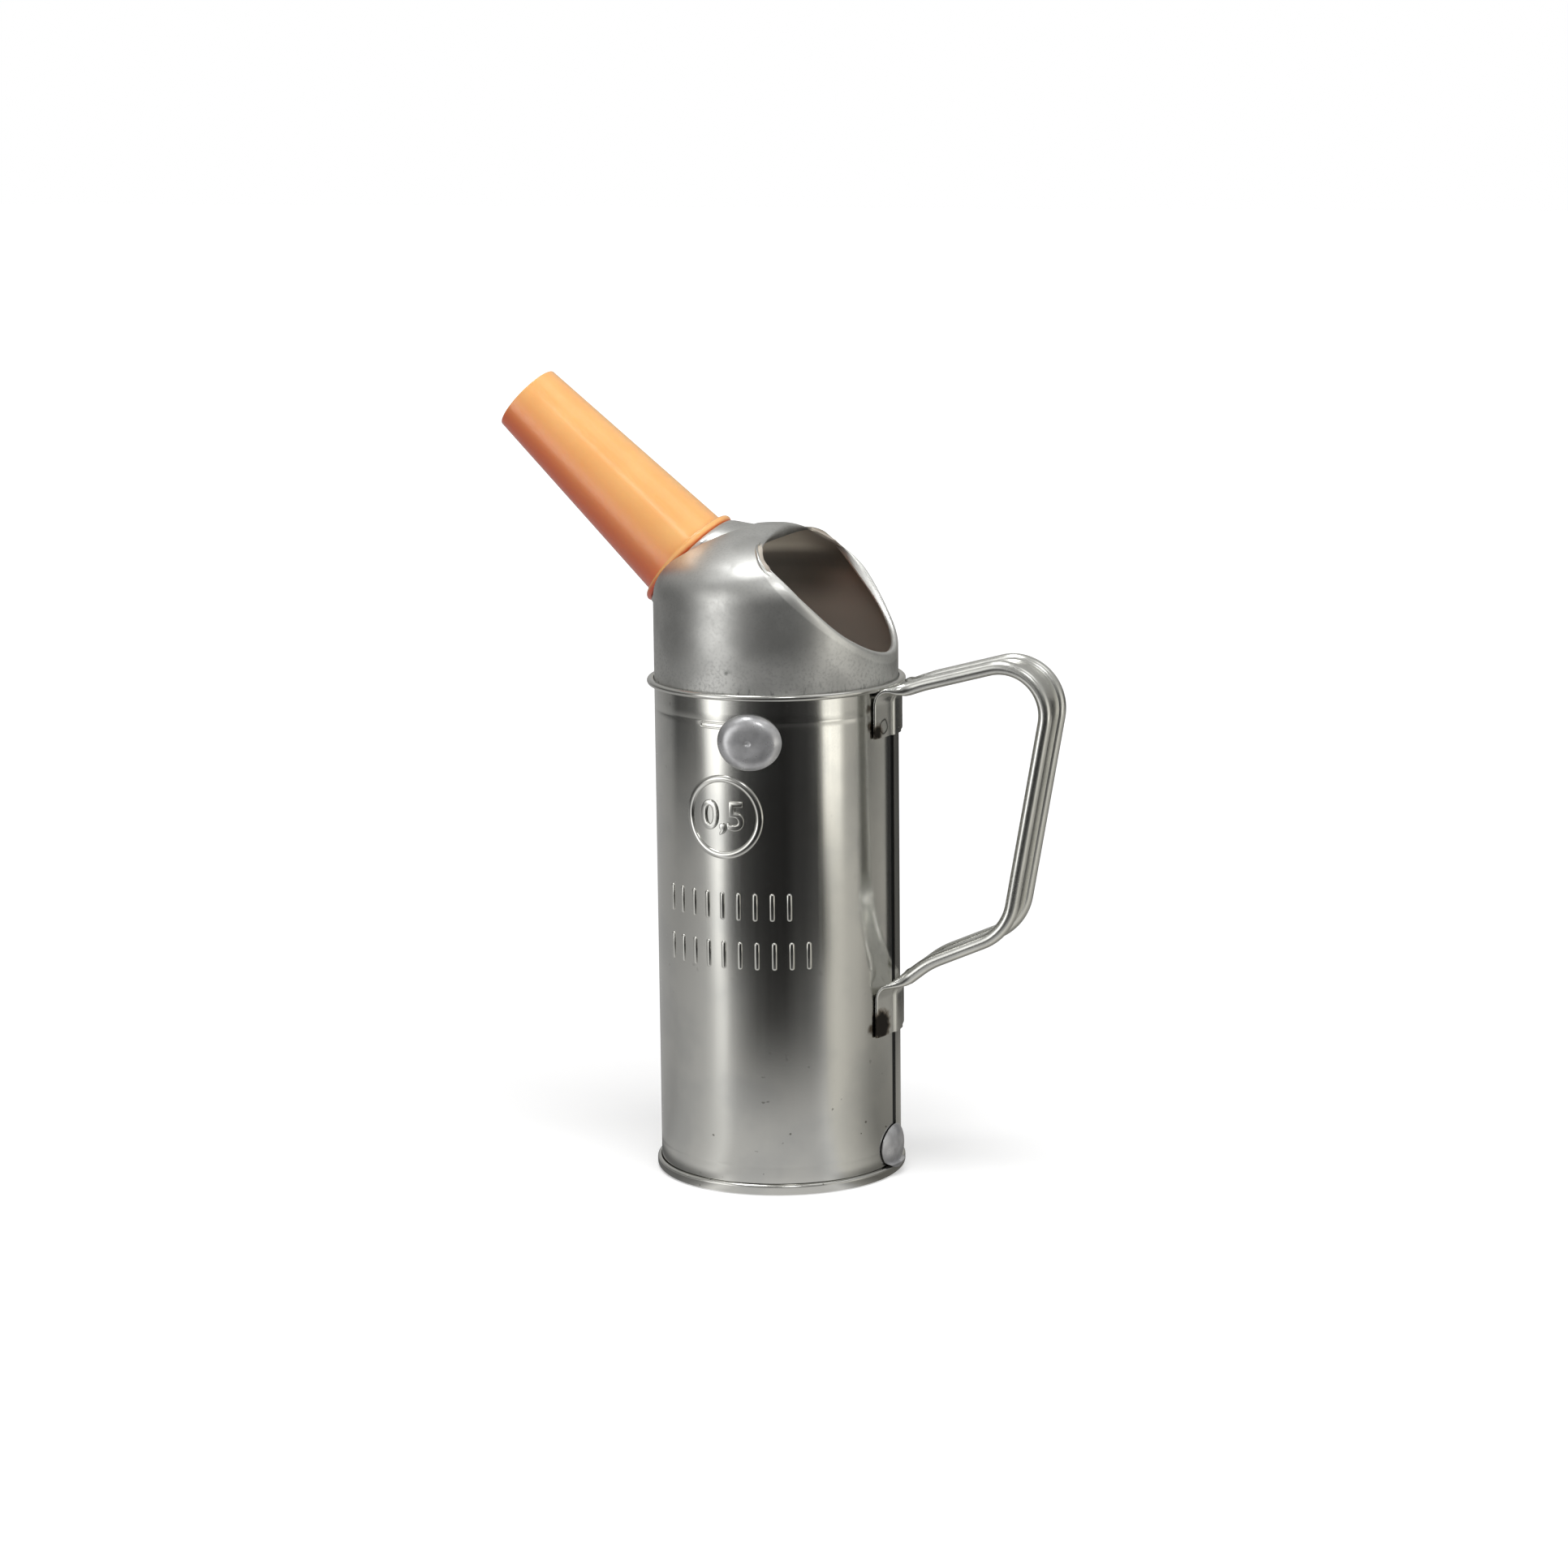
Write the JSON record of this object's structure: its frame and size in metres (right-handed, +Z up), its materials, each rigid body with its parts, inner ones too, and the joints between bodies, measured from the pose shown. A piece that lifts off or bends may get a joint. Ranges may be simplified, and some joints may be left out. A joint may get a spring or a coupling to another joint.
{
  "type": "oil measuring jug",
  "caption": "Tall round tinplate measuring jug with a domed hood, a slanted filling mouth, a strap handle with rolled edges and a tapered plastic spout that pulls off.",
  "frame": {"origin": "centre of the standing ring, on the tube's axis, at the surface the jug stands on", "axes": "+Z up along the tube's axis; +X towards the handle, so the spout points to -X; +Y completes the frame, out of the side that has no upper seal"},
  "size_m": [0.167, 0.0749, 0.2301],
  "materials": {
    "bright_tinplate": "bright rolled tinplate with soft streaks",
    "drawn_tinplate": "satin, mottled from drawing",
    "polished_strap": "bright, with scorched spots at the welded lugs",
    "orange_plastic": "soft gloss, moulded",
    "solder": "dull grey cast drops"
  },
  "bodies": {
    "jug": {"body_tube": "bright_tinplate", "base_plate": "bright_tinplate", "hood": "drawn_tinplate", "handle": "polished_strap", "upper_seal": "solder", "lower_seal": "solder"},
    "spout": {"spout": "orange_plastic"}
  },
  "joints": [
    {"name": "spout_pull", "type": "slide", "parent": "jug", "child": "spout", "axis": [-0.7385, 0, 0.6743], "range_m": [0, 0.015]}
  ]
}
